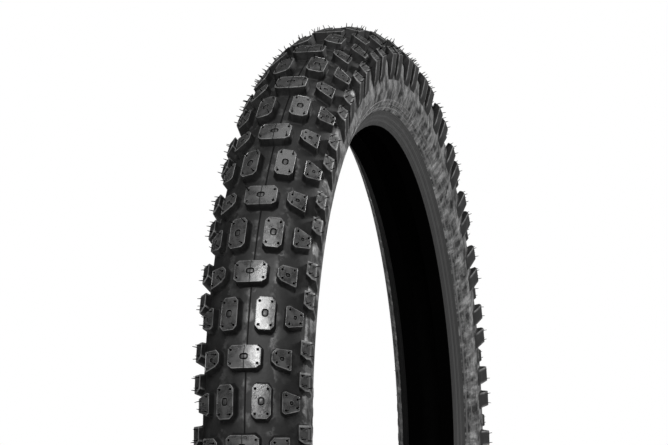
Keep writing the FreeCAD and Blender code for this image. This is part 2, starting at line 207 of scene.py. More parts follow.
def grid_faces(rows, columns, close_rows=False, close_columns=True):
    """Quads between the points of a rows by columns grid."""
    row = np.arange(rows if close_rows else rows - 1)
    column = np.arange(columns if close_columns else columns - 1)
    row, column = np.meshgrid(row, column, indexing="ij")
    next_row = (row + 1) % rows
    next_column = (column + 1) % columns
    quads = np.stack([row * columns + column, row * columns + next_column,
                      next_row * columns + next_column, next_row * columns + column], -1)
    return quads.reshape(-1, 4)


print("a 4 by 5 grid, closed one way, has", len(grid_faces(4, 5)), "faces")

# %% [markdown]
# ## A tread block as a profile carried round an outline
#
# Every block is moulded rubber: walls that lean out towards the base, a soft fillet where
# it meets the casing, a crisp rounded edge round the top, a small hole near each corner and
# a sunk window in the middle with a raised pad in it. The wall and the edges are one
# profile, offset outwards and sunk by the amounts below, carried round the block's
# outline. The flat top is filled with a triangulation that leaves the holes open, and each
# hole is again a profile carried round a circle or an oval.
#
# A block is drawn flat, in (along, across, depth), and then bent onto the crown, so the same
# drawing works at any place on the tire. First come the outlines.

# %% Outlines
CORNER_STEPS = 3
SQUARISH = 0.72


def rounded(corners, radius):
    """A polygon with its corners rounded: each corner becomes an arc of a few points.

    The arc's points are a quadratic blend from one tangent point to the next through the
    corner: (1-t)^2 a + 2t(1-t) corner + t^2 b.
    """
    corners = np.asarray(corners, dtype=float)
    before = np.roll(corners, 1, axis=0) - corners
    after = np.roll(corners, -1, axis=0) - corners
    before /= np.linalg.norm(before, axis=1, keepdims=True)
    after /= np.linalg.norm(after, axis=1, keepdims=True)
    half = np.arccos(np.clip((before * after).sum(1), -1, 1)) / 2
    reach = (radius / np.tan(half))[:, None]
    start, stop = corners + before * reach, corners + after * reach
    t = np.linspace(0, 1, CORNER_STEPS + 1)[None, :, None]
    arc = ((1 - t) ** 2 * start[:, None] + 2 * t * (1 - t) * corners[:, None]
           + t ** 2 * stop[:, None])
    return arc.reshape(-1, 2)


def outward(outline):
    """Unit normals of a closed anticlockwise outline, averaged at each point."""
    edge = np.roll(outline, -1, axis=0) - outline
    edge /= np.linalg.norm(edge, axis=1, keepdims=True)
    normal = np.stack([edge[:, 1], -edge[:, 0]], -1)
    normal = normal + np.roll(normal, 1, axis=0)
    return normal / np.linalg.norm(normal, axis=1, keepdims=True)


def anticlockwise(outline):
    """The outline, turned round if it runs clockwise (its signed area is negative)."""
    x, y = outline[:, 0], outline[:, 1]
    area = (x * np.roll(y, -1) - y * np.roll(x, -1)).sum()
    return outline if area > 0 else outline[::-1]


def oval(centre, half_length, half_width, count):
    """Rounded rectangle: x = a sign(cos) |cos|^p and y = b sign(sin) |sin|^p, p under one."""
    turn = (np.arange(count) + 0.5) * 2 * np.pi / count
    x = half_length * np.sign(np.cos(turn)) * np.abs(np.cos(turn)) ** SQUARISH
    y = half_width * np.sign(np.sin(turn)) * np.abs(np.sin(turn)) ** SQUARISH
    return np.stack([centre[0] + x, centre[1] + y], -1)


print("a rounded square has", len(rounded([(0, 0), (1, 0), (1, 1), (0, 1)], 0.1)), "points")

# %% [markdown]
# ### A drawing that grows ring by ring
#
# A block is a chain of rings, from its foot to its top and down into each hole. The class
# below keeps the points and faces while rings are added and joined.

# %% Rings
class Drawing:
    """A mesh under construction: rings of points in (along, across, depth, painted edge
    highlight, gloss and painted sheen).
    """

    def __init__(self):
        self.points = []
        self.faces = []
        self.total = 0

    def add(self, flat, depth, edge=0.0, gloss_and_painted_sheen=0.0):
        """Add points and return their numbers; depth is a number or one per point.

        edge is 1 where a pale highlight is painted on an edge, and gloss is 1 on a glossy top
        that is also painted lighter as a sheen.
        """
        flat = np.asarray(flat, dtype=float)
        rest = [np.broadcast_to(value, len(flat)) for value in (depth, edge, gloss_and_painted_sheen)]
        self.points.append(np.column_stack([flat, *rest]))
        numbers = np.arange(self.total, self.total + len(flat))
        self.total += len(flat)
        return numbers

    def join(self, ring, other):
        """Quads between two rings of equal length."""
        after, other_after = np.roll(ring, -1), np.roll(other, -1)
        self.faces += np.stack([ring, after, other_after, other], -1).tolist()

    def fan(self, ring, centre):
        """Triangles from a ring to one point."""
        after = np.roll(ring, -1)
        self.faces += [[a, b, centre] for a, b in zip(ring.tolist(), after.tolist())]

    def array(self):
        """All points so far, one row each."""
        return np.concatenate(self.points)


sample = Drawing()
sample.join(sample.add([(0, 0), (1, 0), (0, 1)], 0.0), sample.add([(0, 0), (1, 0), (0, 1)], 1.0))
print("two joined rings of three points:", sample.total, "points,", len(sample.faces), "faces")

# %% [markdown]
# ### Filling the top
#
# A triangulation takes the edge of the top, the rims of the holes and a few loose points
# inside, and joins them all. Triangles that land inside a hole are dropped. One large face
# would do for a flat top, but this one is bent over the crown, so it needs points between.

# %% Filling the top
LIP = 0.16 * MM


def inside(points, outline):
    """Which points lie inside a convex anticlockwise outline: left of every edge."""
    edge = np.roll(outline, -1, axis=0) - outline
    offset = points[:, None] - outline[None]
    return (edge[None, :, 0] * offset[..., 1] - edge[None, :, 1] * offset[..., 0] > 0).all(1)


def fill_top(drawing, rim_numbers, rim, holes, spacing):
    """Triangulate between the rim and the holes; holes is a list of (numbers, outline)."""
    low, high = rim.min(0) + spacing * 0.6, rim.max(0) - spacing * 0.6
    across = [np.linspace(a, b, max(2, int((b - a) / spacing) + 1)) for a, b in zip(low, high)]
    loose = np.stack(np.meshgrid(*across, indexing="ij"), -1).reshape(-1, 2)
    shrunk = rim - outward(rim) * spacing * 0.5
    keep = inside(loose, shrunk)
    for _, hole in holes:
        keep &= ~inside(loose, hole + outward(hole) * spacing * 0.4)
    loose = loose[keep]
    numbers = [rim_numbers] + [n for n, _ in holes] + [drawing.add(loose, LIP, 0, 1)]
    flat = np.concatenate([rim] + [h for _, h in holes] + [loose])
    loops, start = [], 0
    for loop in [rim] + [h for _, h in holes]:
        count = len(loop)
        loops += [(start + i, start + (i + 1) % count) for i in range(count)]
        start += count
    done = delaunay_2d_cdt([Vector(p) for p in flat / MM], loops, [], 0, 1e-5)
    numbers = np.concatenate(numbers)
    origin = [group[0] for group in done[3]]
    middles = np.array([np.mean([flat[origin[i]] for i in face], axis=0) for face in done[2]])
    keep = np.ones(len(middles), dtype=bool)
    for _, hole in holes:
        keep &= ~inside(middles, hole)
    for face, wanted in zip(done[2], keep):
        if wanted:
            drawing.faces.append([int(numbers[origin[i]]) for i in face])


print("a top lies", LIP / MM, "mm under the crown's arc")

# %% [markdown]
# ### Holes and windows
#
# The pin holes are where the mould's vents were, and the window is a sunk ring round a
# raised pad. Each is a loop on the top with a profile carried down it, so no boolean is
# needed and the faces stay clean.

# %% Holes
COLLAR = 0.25 * MM
PIN_RADIUS = 1.05 * MM
PIN_RINGS = [(0.1 * MM, 0.25 * MM, 0), (0.2 * MM, 2.2 * MM, 0)]
# The window's raised pad gets gloss and a painted sheen: a lighter colour on it.
WINDOW_RINGS = [(0.1 * MM, 0.3 * MM, 0), (0.25 * MM, 1.9 * MM, 0), (0.9 * MM, 1.9 * MM, 0),
                (1.1 * MM, 0.35 * MM, 0.3), (1.35 * MM, 0.25 * MM, 0.55)]


def sink_hole(drawing, loop, rings):
    """Carry a profile of (inset, depth, gloss and painted sheen) down a hole from its rim, and
    close its floor.

    A narrow collar round the rim keeps the rim's painted pale highlight from spreading over the
    top.
    """
    normal = outward(loop)
    collar = loop + normal * COLLAR
    outer = drawing.add(collar, LIP, 0, 1)
    # The hole's rim gets the pale painted edge highlight, and some gloss and painted sheen.
    last = drawing.add(loop, LIP, 1, 0.5)
    drawing.join(outer, last)
    for inset, depth, gloss_and_painted_sheen in rings:
        ring = drawing.add(loop - normal * inset, LIP + depth, 0, gloss_and_painted_sheen)
        drawing.join(last, ring)
        last = ring
    centre = drawing.add([loop.mean(0)], LIP + rings[-1][1] * 1.3, 0, rings[-1][2])
    drawing.fan(last, int(centre[0]))
    return outer, collar


print("a pin hole is", 2 * PIN_RADIUS / MM, "mm across")

# %% [markdown]
# ### A whole block
#
# The foot's fillet, the wall and the rounded edge are one profile carried round the outline.
# The edge's rings also carry two marks, a painted pale highlight and gloss with a painted
# sheen, so that both follow the shape exactly.

# %% A whole block
EDGE = 0.45 * MM
FILLET = 1.5 * MM
FILLET_STEPS = 3
FOOT_DEPTH = 0.25 * MM
HOLE_POINTS = 8
OVAL_POINTS = 16
TOP_SPACING = 3.2 * MM
EDGE_RINGS = [
    # outwards, depth (both as shares of EDGE), painted edge highlight, gloss and painted sheen
    (DRAFT, 1.0, 0.0, 0.0), (-0.04, 0.3, 1.0, 0.4), (-0.3, 0.03, 1.0, 1.0),
    (-0.75, 0.0, 0.9, 1.0), (-1.1, LIP / EDGE, 0.0, 1.0)]


def draw_block(corners, corner_radius, pins, window, base_depth):
    """A whole block: base fillet, leaning wall, rounded edge, top, pin holes and window.

    corners, pins and window are in (along, across). base_depth(across) is how deep the
    casing lies. The wall moves outwards by draft times depth. The rounded edge is rings of
    (outwards, depth), as shares of its width.
    """
    drawing = Drawing()
    outline = anticlockwise(rounded(corners, corner_radius))
    normal = outward(outline)
    bottom = base_depth(outline[:, 1])
    turn = np.linspace(0, np.pi / 2, FILLET_STEPS + 1)
    last = None
    for step in turn:
        out = DRAFT * bottom + FILLET * (1 - np.sin(step))
        depth = bottom - FILLET * (1 - np.cos(step))
        flare = outline + normal * out[:, None]
        if step == 0:
            depth = base_depth(flare[:, 1]) + FOOT_DEPTH
        ring = drawing.add(flare, depth)
        if last is not None:
            drawing.join(last, ring)
        last = ring
    for out, depth, edge, gloss_and_painted_sheen in EDGE_RINGS:
        flat = outline + normal * out * EDGE
        ring = drawing.add(flat, depth * EDGE, edge, gloss_and_painted_sheen)
        drawing.join(last, ring)
        last = ring
    holes = []
    for place, radius in pins:
        loop = oval(place, radius, radius, HOLE_POINTS)
        holes.append(sink_hole(drawing, loop, PIN_RINGS))
    if window is not None:
        centre, half_length, half_width = window
        loop = oval(centre, half_length, half_width, OVAL_POINTS)
        holes.append(sink_hole(drawing, loop, WINDOW_RINGS))
    fill_top(drawing, last, flat, holes, TOP_SPACING)
    return drawing


print("block edges are", round(EDGE / MM, 2), "mm wide")

# %% [markdown]
# ## The rows of blocks
#
# Thirty-four pitches go round the wheel. Each row is one drawing, copied once per pitch and
# mirrored to the other side, so that nothing is drawn twice. A row's lean is the angle
# across the crown at which its blocks sit, and its phase says where in the pitch it is.
# The copies are all in one mesh, bent onto the crown with crown_point().

# %% The four kinds of crown block, in millimetres
def octagon(half_length, half_width, corner_length, corner_width):
    """A rectangle with its four corners cut off."""
    a, b = half_length, half_width
    c, d = corner_length, corner_width
    return [(a, b - d), (a - c, b), (c - a, b), (-a, b - d),
            (-a, d - b), (c - a, -b), (a - c, -b), (a, d - b)]


ROWS = {
    "centre": dict(lean=0.0, pull=0.0, phase=0.0, corners=octagon(8.4, 12.3, 2.5, 3.2),
                   pins=[(a, b) for a in (-5.0, 5.0) for b in (-10.1, 10.1)],
                   window=((0, 0), 2.5, 3.3)),
    "inner": dict(lean=16.4, pull=10.0, phase=0.5, corners=octagon(12.35, 6.9, 3.0, 2.6),
                  pins=[(a, b) for a in (-8.9, 8.9) for b in (-4.5, 4.5)],
                  window=((0, 0), 3.1, 2.6)),
    "middle": dict(lean=33.0, pull=14.0, phase=0.0,
                   corners=[(8.9, 7.4), (-6.3, 7.4), (-6.3, -4.3), (-3.2, -7.4), (2.8, -7.4),
                            (5.9, -4.3)],
                   pins=[(-2.9, -4.2), (-4.2, 5.1), (3.7, -3.6), (6.1, 5.2)],
                   window=((0.7, 0.3), 1.6, 1.9)),
    "outer": dict(lean=43.0, pull=18.0, phase=0.5,
                  corners=[(5.6, 7.1), (-4.4, 7.1), (-7.6, -4.7), (-6.6, -7.1), (7.1, -7.1),
                           (8.6, -4.7)],
                  pins=[(-4.9, -4.2), (-2.5, 4.8), (5.9, -4.2), (3.7, 4.8)],
                  window=((0.4, 0.2), 1.6, 1.6)),
}
print("kinds of crown block:", ", ".join(ROWS))

# %% [markdown]
# ### Copying a block round the wheel
#
# An array modifier on a curve could copy a block, but it would bend the copies by its own
# rules. Here the formula of the crown is run once per pitch on the same flat drawing.

# %% Rows of crown blocks
CORNER_ROUND = 0.75 * MM
BLOCK_SMOOTH_ANGLE = 38
DEPTH_ROUNDS = 4


def scaled(pairs):
    """Millimetres to metres."""
    return [(a * MM, b * MM) for a, b in pairs]


def copy_round(points, faces, phase, side, bend):
    """Copy a bent block to every pitch: bend(points, angle) gives its points at an angle."""
    count = len(points)
    angles = (np.arange(PITCHES) + phase) * PITCH_ANGLE
    everything = np.concatenate([bend(points, angle) for angle in angles])
    everything[:, 1] *= side
    faces = [face[::-1] if side == 1 else face for face in faces]
    return everything, [[i + k * count for i in face] for k in range(PITCHES) for face in faces]


def crown_row(name, row, side):
    """One row of crown blocks as one mesh.

    The walls stand along the pull, not square to the top, so the block is sheared: a point
    at a depth moves across by depth times tan(lean - pull). How deep the base lies depends
    on that move, so the depth is found in a few rounds.
    """
    lean = math.radians(row["lean"])
    radius = TOP_CENTRE + TOP_ARC * math.cos(lean)
    shear = math.tan(lean - math.radians(row["pull"]))

    def base_depth(across):
        depth = floor_depth(lean + across / TOP_ARC)
        for _ in range(DEPTH_ROUNDS):
            depth = floor_depth(lean + (across + shear * depth) / TOP_ARC)
        return depth

    def bend(points, angle):
        along, across, depth = points[:, :3].T
        return crown_point(angle + along / radius, lean + (across + shear * depth) / TOP_ARC,
                           depth)

    place, half_length, half_width = row["window"]
    window = (np.array(place) * MM, half_length * MM, half_width * MM)
    drawing = draw_block(scaled(row["corners"]), CORNER_ROUND,
                         [(pin, PIN_RADIUS) for pin in scaled(row["pins"])], window, base_depth)
    flat = drawing.array()
    points, faces = copy_round(flat, drawing.faces, row["phase"], side, bend)
    # These marks paint a pale highlight along the edges and a lighter sheen on the glossy tops.
    marks = {"edge": np.tile(flat[:, 3], PITCHES), "gloss_and_painted_sheen": np.tile(flat[:, 4], PITCHES)}
    return make_mesh(name, points, faces, BLOCK_SMOOTH_ANGLE, marks)


blocks = {"centre_blocks": crown_row("centre_row", ROWS["centre"], 1)}
for side_name, side in SIDES.items():
    for kind in ("inner", "middle", "outer"):
        blocks[f"{kind}_blocks_{side_name}"] = crown_row(f"{kind}_row_{side_name}",
                                                         ROWS[kind], side)
for node, piece in blocks.items():
    print(node, len(piece.data.polygons), "faces")

# %% [markdown]
# ### Shoulder blocks
#
# A shoulder block is a knob and a rib in one. It is a loft: stations run from its inner foot,
# over the top, round the outer edge and down the sidewall, and at each station an arch goes
# up one wall, across and down the other. Two pairs of pin holes are pits in the same grid.
# A straight extrusion would be simpler, but the rib changes width and height all the way.

# %% Stations of a shoulder block, in millimetres
WALL_Y = 38.2
SHOULDER_STATIONS = [
    # top (radius, across), base (radius, across), leading edge, trailing edge, pin row
    ((325.0, 34.3), (325.0, 34.3), -7.2, 4.4, 0),
    ((325.6, 34.85), (325.4, 34.7), -7.0, 4.2, 0),
    ((331.6, 36.75), (324.9, 35.1), -6.6, 3.8, 0),
    ((332.2, 37.05), (324.7, 35.3), -6.6, 3.9, 0),
    ((332.2, 37.45), (324.5, 35.6), -6.6, 4.0, 0),
    ((331.6, 37.97), (324.2, 35.9), -6.6, 4.5, 0),
    ((330.9, 38.58), (323.8, 36.1), -6.6, 5.0, 1),
    ((330.2, 39.18), (323.4, 36.3), -6.6, 5.5, 0),
    ((328.7, 40.48), (322.7, 36.6), -6.6, 6.5, 0),
    ((328.0, 41.09), (322.3, 36.8), -6.7, 6.6, 1),
    ((327.3, 41.70), (321.9, 36.95), -6.7, 6.6, 0),
    ((326.3, 42.55), (321.3, 37.2), -6.8, 6.7, 0),
    ((325.7, 42.86), (320.9, 37.35), -6.8, 6.7, 0),
    ((325.1, 42.87), (320.4, 37.5), -6.8, 6.7, 0),
    ((317.9, 41.76), (316.5, WALL_Y), -7.1, 7.0, 0),
    ((311.2, 40.70), (311.0, WALL_Y), -7.3, 7.3, 0),
    ((309.3, 40.15), (309.2, WALL_Y), -7.3, 7.3, 0),
    ((306.6, 38.95), (306.5, WALL_Y), -7.2, 7.2, 0),
    ((304.4, 38.05), (304.4, 38.0), -6.9, 6.9, 0),
]
print("stations of a shoulder block:", len(SHOULDER_STATIONS))

# %% [markdown]
# ### Arches over the stations
#
# An arch is drawn across each station. Its two walls lean out by the draft, its corners are
# rounded in two steps, and two of its columns run through the pin holes.

# %% Arches
PIN_COLUMNS = (0.22, 0.78)
PIN_HALF = 0.085
PIN_PIT = 1.3
ARCH_EDGE = 0.7
ARCH_FOOT = [(1.3, -0.25), (0.45, 0.35), (0.0, 1.2)]


def arch_columns():
    """Across the top, from 0 at the leading edge to 1 at the trailing edge."""
    columns = [0.0, 0.5, 1.0]
    for middle in PIN_COLUMNS:
        columns += [middle - PIN_HALF, middle, middle + PIN_HALF]
    return np.array(sorted(columns))


def shoulder_drawing():
    """Grid of (along, radius, across): one row per station, one column per arch point.

    Up the wall: along = edge - draft (height - rise), from the base to the rounded edge.
    Across: along = edge + t (other edge - edge), at full height.
    """
    tops, bases, leads, trails, pin_rows = (np.array(c, dtype=float) for c in
                                            zip(*SHOULDER_STATIONS))
    rise = tops - bases
    height = np.linalg.norm(rise, axis=1)
    t = arch_columns()[1:-1]
    grid = []
    for top, base, lift, full, lead, trail, pinned in zip(tops, bases, rise, height, leads,
                                                          trails, pin_rows):
        way = lift / full if full > 0.01 else np.zeros(2)
        edge = min(ARCH_EDGE, full * 0.45)
        arch = [(out + DRAFT * max(full - up, 0.0), min(up, full * 0.5)) for out, up in ARCH_FOOT]
        arch += [(DRAFT * edge, full - edge), (-0.12 * edge, full - 0.22 * edge),
                 (-0.75 * edge, full)]
        row = [(lead - out, *(base + way * up)) for out, up in arch]
        low, high = lead + 0.75 * edge, trail - 0.75 * edge
        for place in t:
            pit = PIN_PIT if pinned and min(abs(place - p) for p in PIN_COLUMNS) < 0.01 else 0.0
            row.append((low + place * (high - low), *(top - way * pit)))
        row += [(trail + out, *(base + way * up)) for out, up in arch[::-1]]
        grid.append(row)
    return np.array(grid) * MM


print("arch columns:", len(shoulder_drawing()[0]))

# %% [markdown]
# ### Shoulder rows
#
# The knob's face is a little glossy and painted with a lighter sheen, less so where the pin
# holes pit it, and its edges are painted with a pale highlight. Two rows, front and rear,
# share each pitch.

# %% Rows of shoulder blocks
SHOULDER_RADIUS = 328 * MM
SHOULDER_PHASES = {"front": -0.138, "rear": 0.245}


def shoulder_marks(rows, columns):
    """Gloss and a painted sheen on the block's outer face, and a painted pale highlight along its
    edges, as grids of numbers.
    """
    gloss_and_painted_sheen, edge = np.zeros((rows, columns)), np.zeros((rows, columns))
    gloss_and_painted_sheen[[4, 11], 5:-5] = 0.7
    gloss_and_painted_sheen[5:11, 5:-5] = 0.35
    edge[2:17, [4, 5, -6, -5]] = 1.0
    edge[[3, 12], 5:-5] = 0.7
    return {"edge": np.tile(edge.ravel(), PITCHES), "gloss_and_painted_sheen": np.tile(gloss_and_painted_sheen.ravel(), PITCHES)}


def shoulder_row(name, phase, side):
    """One row of shoulder blocks: along turns into an angle at the block's own radius."""
    grid = shoulder_drawing()
    rows, columns = grid.shape[:2]
    faces = grid_faces(rows, columns, close_columns=False)[:, ::-1].tolist()

    def bend(points, angle):
        along, radius, across = points.T
        turn = angle + along / SHOULDER_RADIUS
        return np.stack([radius * np.cos(turn), across, radius * np.sin(turn)], -1)

    points, faces = copy_round(grid.reshape(-1, 3), faces, phase, side, bend)
    return make_mesh(name, points, faces, BLOCK_SMOOTH_ANGLE, shoulder_marks(rows, columns))


for side_name, side in SIDES.items():
    for place, phase in SHOULDER_PHASES.items():
        blocks[f"shoulder_blocks_{place}_{side_name}"] = shoulder_row(
            f"shoulder_row_{place}_{side_name}", phase, side)
print("rows of blocks:", len(blocks))

# %% [markdown]
# ## Rings: a profile turned round the axle
#
# The groove floor, the sidewalls and the rim strips are rings. A profile in (radius, across)
# is turned about the axle in several hundred steps. Fine moulded detail, such as the mould
# line along the centre and the thin lines above the rim, is in the profile itself, so it
# shows in the mesh and not only in the shading.

# %% Turning a profile
RING_STEPS = 816


def lathe(name, profile, side=1, smooth_angle=30, relief=None, marks=None):
    """Turn a closed profile of (radius, across) about Y: x = r cos, y = a, z = r sin.

    relief(angle, radius, across) may return how far each point stands out sideways, and
    marks gives a function of (radius, across) for each number stored on the points.
    """
    profile = np.asarray(profile, dtype=float)
    angle = np.arange(RING_STEPS) * 2 * np.pi / RING_STEPS
    radius = np.broadcast_to(profile[:, 0], (RING_STEPS, len(profile)))
    across = np.broadcast_to(profile[:, 1], (RING_STEPS, len(profile))).copy()
    turn = angle[:, None]
    if relief is not None:
        across += relief(turn, radius, across)
    points = np.stack([radius * np.cos(turn), across * side, radius * np.sin(turn)], -1)
    faces = grid_faces(RING_STEPS, len(profile), close_rows=True)
    area = (profile[:, 0] * np.roll(profile[:, 1], -1)
            - profile[:, 1] * np.roll(profile[:, 0], -1)).sum()
    if (area > 0) == (side == 1):
        faces = faces[:, ::-1]
    stored = {mark: np.tile(rule(*profile.T).astype(float), RING_STEPS)
              for mark, rule in (marks or {}).items()}
    return make_mesh(name, points.reshape(-1, 3), faces, smooth_angle, stored)


def arc(centre_radius, centre_across, reach, first, last, steps):
    """Points on an arc in the section plane, by angle from the outward direction."""
    turn = np.radians(np.linspace(first, last, steps))
    return np.stack([centre_radius + reach * np.cos(turn), centre_across + reach * np.sin(turn)],
                    -1)


print("steps round the wheel:", RING_STEPS, "or", RING_STEPS // PITCHES, "to a pitch")

# %% [markdown]
# ### Groove floor
#
# Between the blocks lies the casing's own skin, with a low fin along the centre plane where
# the mould's two halves met. Smoother bands run along it, painted lighter as highlight
# streaks. They are stored on the points as a mark, and the material breaks them up into
# smears.

# %% Groove floor, with the mould line along its centre
RUBBER = 2.6 * MM
SEAM_HEIGHT = 0.45 * MM
SEAM_HALF_WIDTH = 0.45 * MM


def floor_profile():
    """The floor arc with a low sharp fin on the centre plane, closed along its underside."""
    lean = math.degrees(SHOULDER_ANGLE)
    outside = arc(FLOOR_CENTRE, 0, FLOOR_ARC, -lean, lean, 61)
    apart = np.abs(outside[:, 1])
    outside = outside[apart > 1.5 * MM]
    half = len(outside) // 2
    top = FLOOR_CENTRE + FLOOR_ARC
    fin = np.array([(top, -1.3 * MM), (top, -SEAM_HALF_WIDTH), (top + SEAM_HEIGHT, -0.1 * MM),
                    (top + SEAM_HEIGHT, 0.1 * MM), (top - 0.1 * MM, SEAM_HALF_WIDTH),
                    (top, 1.3 * MM)])
    inside = arc(FLOOR_CENTRE, 0, FLOOR_ARC - RUBBER, lean, -lean, 25)
    return np.concatenate([outside[:half], fin, outside[half:], inside])


def polish_and_painted_highlight(radius, across):
    """Smoother bands on the floor with painted highlight streaks: beside the mould line, and
    halfway out to each shoulder.

    Two bell curves of the distance from the centre plane, over a small even amount that
    also tells the floor from the blocks.
    """
    apart = np.abs(across) / MM
    beside_line = 0.8 * np.exp(-((apart - 2.0) / 1.2) ** 2)
    halfway = 1.2 * np.exp(-((apart - 18.5) / 2.4) ** 2)
    return 0.02 + beside_line + halfway


groove_floor = lathe("groove_floor", floor_profile(), smooth_angle=35, marks={"polish_and_painted_highlight": polish_and_painted_highlight})
print("groove floor:", len(groove_floor.data.polygons), "faces")

# %% [markdown]
# ### Sidewalls
#
# The wall falls straight from the shoulder and turns in towards the bead. On it are a low
# step above the rim, three thin rim lines that show a fitter whether the bead is seated, and
# plain hatched panels in place of lettering, which this tire does without. Two of the rim
# lines carry a painted highlight: a pale line in the colour.

# %% Sidewalls
WALL_ARC = 35.8
WALL_LOW = 303.0
WALL_TURN = 41.0
HATCH_PANELS = 6
HATCH_HALF_ANGLE = math.radians(9.0)
HATCH_LOW = 289.0 * MM
HATCH_HIGH = 297.0 * MM
HATCH_HEIGHT = 0.35 * MM
STEPS_PER_BAR = 6
RIM_LINE_TURNS = (25.0, 31.0, 36.0)
# Radii of the two rim lines that get a painted pale highlight.
HIGHLIGHT_LINE_RADII = (287.9, 282.0)


def wall_profile():
    """Sidewall in millimetres: arcs and a straight wall, with steps and lines added."""
    lean = math.degrees(SHOULDER_ANGLE)
    shoulder = arc(SHOULDER_CENTRE[0] / MM, SHOULDER_CENTRE[1] / MM, SHOULDER_ARC / MM, lean, 90,
                   10)
    straight = np.array([(r, WALL_Y) for r in (314.0, 310.0, 306.5, 304.0)])
    turn = np.linspace(0, WALL_TURN, 64)
    lower = arc(WALL_LOW, WALL_Y - WALL_ARC, WALL_ARC, 90, 90 + WALL_TURN, 64)
    step = 0.5 / (1 + np.exp(-(turn - 12.0) * 3.0)) - 0.5
    lines = sum(0.5 * np.exp(-((turn - place) / 0.5) ** 2) for place in RIM_LINE_TURNS)
    out = np.radians(90 + turn)
    lower = lower + (lines - 0.5 - step)[:, None] * np.stack([np.cos(out), np.sin(out)], -1)
    inner = np.array([(274.9, 24.6), (282.0, 28.6), (290.0, 33.0), (296.0, 34.85), (303.0, 35.6),
                      (317.0, 35.6), (321.2, 34.4)])
    return np.concatenate([shoulder, straight, lower, inner])


def painted_highlight_lines(*places):
    """A rule for a painted highlight line: 0.4 at each of these radii, in millimetres, and
    fades in a millimetre.
    """
    return lambda radius, across: sum(
        0.4 * np.exp(-((radius / MM - place) / 0.7) ** 2) for place in places)


def hatch(turn, radius, across):
    """Raised bars on a few panels: a square wave of the angle, within a band of radii."""
    panel = (turn * HATCH_PANELS / (2 * np.pi) + 0.5) % 1 - 0.5
    near = np.abs(panel) * 2 * np.pi / HATCH_PANELS < HATCH_HALF_ANGLE
    band = (radius > HATCH_LOW) & (radius < HATCH_HIGH) & (across > 34 * MM)
    bars = 0.5 + 0.5 * np.sign(np.sin(turn * RING_STEPS / STEPS_PER_BAR + 0.1))
    return np.where(near & band, HATCH_HEIGHT * bars, 0.0)


walls = {}
for side_name, side in SIDES.items():
    walls[side_name] = lathe(f"wall_{side_name}", wall_profile() * MM, side, 30, relief=hatch,
                             marks={"line": painted_highlight_lines(*HIGHLIGHT_LINE_RADII)})
print("sidewall:", len(walls["left"].data.polygons), "faces")

# %% [markdown]
# ### Rim strips
#
# The rim strip is the hard rubber round the bead. Outside it is finely ribbed, so that it
# grips the rim flange, and inside the two beads it ends at the toe. Its seat is painted near
# black as shade. The left strip is painted darker than the right one as well, as painted
# shade in the far side of the hole.

# %% Rim strips
SEAT_EDGE = 268.0 * MM
# Share of the painted shade on the left strip outside its seat.
LEFT_STRIP_SHADE = 0.75
# Radii of thin lines painted pale on the rim strip as highlights.
STRIP_HIGHLIGHT_LINE_RADII = (275.6, 272.2)


def strip_profile():
    """From the rim line down the outside, round the heel, along the seat and up the toe."""
    start, heel = np.array([279.5, 29.42]), np.array([267.55, 20.99])
    along = np.linspace(0, 1, 41)[:, None]
    way = (heel - start) / np.linalg.norm(heel - start)
    inward = np.array([-way[1], way[0]])
    ribs = 0.16 - 0.16 * np.maximum(np.sin(along * 2 * np.pi * 9), 0) * (along < 0.86)
    outside = start + (heel - start) * along + inward * ribs
    around = arc(268.7, 19.35, 2.0, 126, 180, 6)
    rest = np.array([(266.7, 17.5), (266.7, 13.5), (266.7, 10.2), (266.95, 9.4), (267.6, 8.9),
                     (269.5, 9.95), (271.3, 10.9), (270.9, 11.5), (268.6, 12.5), (268.1, 14.0),
                     (268.1, 18.5), (269.0, 20.3), (274.5, 24.1)])
    return np.concatenate([outside, around, rest])


# The seat mark is painted shade: near black on both seats, and over most of the left strip.
painted_seat_shade = {
    "left": lambda radius, across: np.where(radius < SEAT_EDGE, 1.0, LEFT_STRIP_SHADE),
    "right": lambda radius, across: radius < SEAT_EDGE,
}
strips = {}
for side_name, side in SIDES.items():
    strips[side_name] = lathe(f"strip_{side_name}", strip_profile() * MM, side, 35,
                              marks={"seat": painted_seat_shade[side_name],
                                     "line": painted_highlight_lines(*STRIP_HIGHLIGHT_LINE_RADII)})
print("rim strip:", len(strips["left"].data.polygons), "faces")

# %% [markdown]
# ## Vent hairs
#
# When a tire is moulded, air leaves through vents as thin as a needle, and rubber follows it.
# The hairs stay on a new tire. Each is a tapering tube round a curved line: the line leaves
# the block straight out and bends over by a random amount, so no two hairs are alike.
# Blender's own hair curves would do for a picture, but a tube is a mesh that can be printed.

# %% Where the hairs stand
HAIRS = {
    # share of the sites that keep a hair, shortest and longest in millimetres, and droop
    "centre": (0.85, 2.6, 4.2, 0.2), "inner": (0.85, 2.6, 4.2, 0.25),
    "middle": (0.85, 2.6, 4.2, 0.3), "outer": (0.9, 2.4, 4.4, 0.3),
    "shoulder": (0.92, 3.2, 4.4, 0.12),
}
SHOULDER_HAIR_PLACES = [
    # along in millimetres, and bend in degrees
    (-4.4, 52.5), (-4.6, 60.0), (3.2, 53.5), (4.2, 60.0),
]
SHOULDER_HAIR_DEPTH = -0.3 * MM


def hair_sites():
    """(angle, bend, depth, side, kind) of every hair: one to a pin hole."""
    sites = []
    for side in SIDES.values():
        for kind, row in ROWS.items():
            if kind == "centre" and side == -1:
                continue
            lean = math.radians(row["lean"])
            radius = TOP_CENTRE + TOP_ARC * math.cos(lean)
            for along, across in scaled(row["pins"]):
                sites.append((row["phase"] * PITCH_ANGLE + along / radius,
                              lean + across / TOP_ARC, 0.0, side, kind))
        for phase in SHOULDER_PHASES.values():
            for along, bend in SHOULDER_HAIR_PLACES:
                sites.append((phase * PITCH_ANGLE + along * MM / SHOULDER_RADIUS,
                              math.radians(bend), SHOULDER_HAIR_DEPTH, side, "shoulder"))
    return sites


